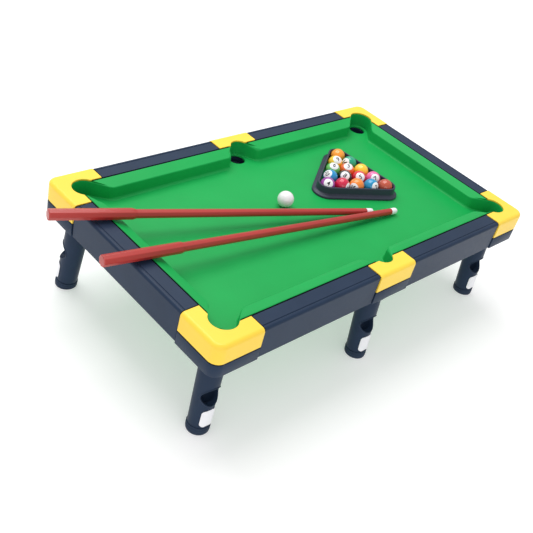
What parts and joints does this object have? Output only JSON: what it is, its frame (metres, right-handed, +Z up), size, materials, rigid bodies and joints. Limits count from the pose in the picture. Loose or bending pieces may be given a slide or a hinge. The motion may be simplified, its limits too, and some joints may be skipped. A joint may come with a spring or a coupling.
{
  "type": "mini pool table",
  "caption": "tabletop pool table with a green tray bed, dark rails, yellow pocket caps, hollow ball-return legs, balls, triangle rack and two cues",
  "frame": {"origin": "centre of the footprint of the whole set (table and overhanging cues), on the surface it stands on", "axes": "X along the table, towards the racked balls; Y across the table; Z up"},
  "size_m": [0.4772, 0.2556, 0.1325],
  "materials": {
    "dark_plastic": "satin, fine grain",
    "bed_green": "matt, lightly textured",
    "cap_yellow": "smooth semi-gloss",
    "label_white": "satin",
    "rack_charcoal": "satin",
    "cue_red": "semi-gloss",
    "ferrule_white": "satin",
    "cue_ball_white": "polished",
    "ball_01": "polished",
    "ball_02": "polished",
    "ball_03": "polished",
    "ball_04": "polished",
    "ball_05": "polished",
    "ball_06": "polished",
    "ball_07": "polished",
    "ball_08": "polished",
    "ball_09": "polished",
    "ball_10": "polished",
    "ball_11": "polished",
    "ball_12": "polished",
    "ball_13": "polished",
    "ball_14": "polished",
    "ball_15": "polished"
  },
  "bodies": {
    "table": {"bed_tray": "bed_green", "rail_front_left": "dark_plastic", "rail_front_right": "dark_plastic", "rail_back_left": "dark_plastic", "rail_back_right": "dark_plastic", "rail_left_end": "dark_plastic", "rail_right_end": "dark_plastic", "cap_front_left": "cap_yellow", "cap_front_right": "cap_yellow", "cap_back_left": "cap_yellow", "cap_back_right": "cap_yellow", "cap_front_middle": "cap_yellow", "cap_back_middle": "cap_yellow", "socket_front_left": "dark_plastic", "socket_front_right": "dark_plastic", "socket_back_left": "dark_plastic", "socket_back_right": "dark_plastic", "socket_front_middle": "dark_plastic", "socket_back_middle": "dark_plastic", "leg_front_left": "dark_plastic", "leg_front_right": "dark_plastic", "leg_back_left": "dark_plastic", "leg_back_right": "dark_plastic", "leg_front_middle": "dark_plastic", "leg_back_middle": "dark_plastic", "foot_front_left": "dark_plastic", "foot_front_right": "dark_plastic", "foot_back_left": "dark_plastic", "foot_back_right": "dark_plastic", "foot_front_middle": "dark_plastic", "foot_back_middle": "dark_plastic", "label_front_left": "label_white", "label_front_right": "label_white", "label_back_left": "label_white", "label_back_right": "label_white", "label_front_middle": "label_white", "label_back_middle": "label_white"},
    "ball_01_body": {"ball_01": "ball_01"},
    "ball_02_body": {"ball_02": "ball_02"},
    "ball_03_body": {"ball_03": "ball_03"},
    "ball_04_body": {"ball_04": "ball_04"},
    "ball_05_body": {"ball_05": "ball_05"},
    "ball_06_body": {"ball_06": "ball_06"},
    "ball_07_body": {"ball_07": "ball_07"},
    "ball_08_body": {"ball_08": "ball_08"},
    "ball_09_body": {"ball_09": "ball_09"},
    "ball_10_body": {"ball_10": "ball_10"},
    "ball_11_body": {"ball_11": "ball_11"},
    "ball_12_body": {"ball_12": "ball_12"},
    "ball_13_body": {"ball_13": "ball_13"},
    "ball_14_body": {"ball_14": "ball_14"},
    "ball_15_body": {"ball_15": "ball_15"},
    "cue_ball_body": {"cue_ball": "cue_ball_white"},
    "rack_body": {"rack": "rack_charcoal"},
    "cue_1_body": {"cue_1": "cue_red", "cue_1_tip": "ferrule_white"},
    "cue_2_body": {"cue_2": "cue_red", "cue_2_tip": "ferrule_white"}
  },
  "joints": [
    {"name": "lift_ball_01", "type": "slide", "parent": "table", "child": "ball_01_body", "axis": [0, 0, 1], "range_m": [0, 0.06]},
    {"name": "lift_ball_02", "type": "slide", "parent": "table", "child": "ball_02_body", "axis": [0, 0, 1], "range_m": [0, 0.06]},
    {"name": "lift_ball_03", "type": "slide", "parent": "table", "child": "ball_03_body", "axis": [0, 0, 1], "range_m": [0, 0.06]},
    {"name": "lift_ball_04", "type": "slide", "parent": "table", "child": "ball_04_body", "axis": [0, 0, 1], "range_m": [0, 0.06]},
    {"name": "lift_ball_05", "type": "slide", "parent": "table", "child": "ball_05_body", "axis": [0, 0, 1], "range_m": [0, 0.06]},
    {"name": "lift_ball_06", "type": "slide", "parent": "table", "child": "ball_06_body", "axis": [0, 0, 1], "range_m": [0, 0.06]},
    {"name": "lift_ball_07", "type": "slide", "parent": "table", "child": "ball_07_body", "axis": [0, 0, 1], "range_m": [0, 0.06]},
    {"name": "lift_ball_08", "type": "slide", "parent": "table", "child": "ball_08_body", "axis": [0, 0, 1], "range_m": [0, 0.06]},
    {"name": "lift_ball_09", "type": "slide", "parent": "table", "child": "ball_09_body", "axis": [0, 0, 1], "range_m": [0, 0.06]},
    {"name": "lift_ball_10", "type": "slide", "parent": "table", "child": "ball_10_body", "axis": [0, 0, 1], "range_m": [0, 0.06]},
    {"name": "lift_ball_11", "type": "slide", "parent": "table", "child": "ball_11_body", "axis": [0, 0, 1], "range_m": [0, 0.06]},
    {"name": "lift_ball_12", "type": "slide", "parent": "table", "child": "ball_12_body", "axis": [0, 0, 1], "range_m": [0, 0.06]},
    {"name": "lift_ball_13", "type": "slide", "parent": "table", "child": "ball_13_body", "axis": [0, 0, 1], "range_m": [0, 0.06]},
    {"name": "lift_ball_14", "type": "slide", "parent": "table", "child": "ball_14_body", "axis": [0, 0, 1], "range_m": [0, 0.06]},
    {"name": "lift_ball_15", "type": "slide", "parent": "table", "child": "ball_15_body", "axis": [0, 0, 1], "range_m": [0, 0.06]},
    {"name": "lift_cue_ball", "type": "slide", "parent": "table", "child": "cue_ball_body", "axis": [0, 0, 1], "range_m": [0, 0.06]},
    {"name": "lift_rack", "type": "slide", "parent": "table", "child": "rack_body", "axis": [0, 0, 1], "range_m": [0, 0.06]},
    {"name": "lift_cue_1", "type": "slide", "parent": "table", "child": "cue_1_body", "axis": [0, 0, 1], "range_m": [0, 0.06]},
    {"name": "lift_cue_2", "type": "slide", "parent": "table", "child": "cue_2_body", "axis": [0, 0, 1], "range_m": [0, 0.06]}
  ]
}
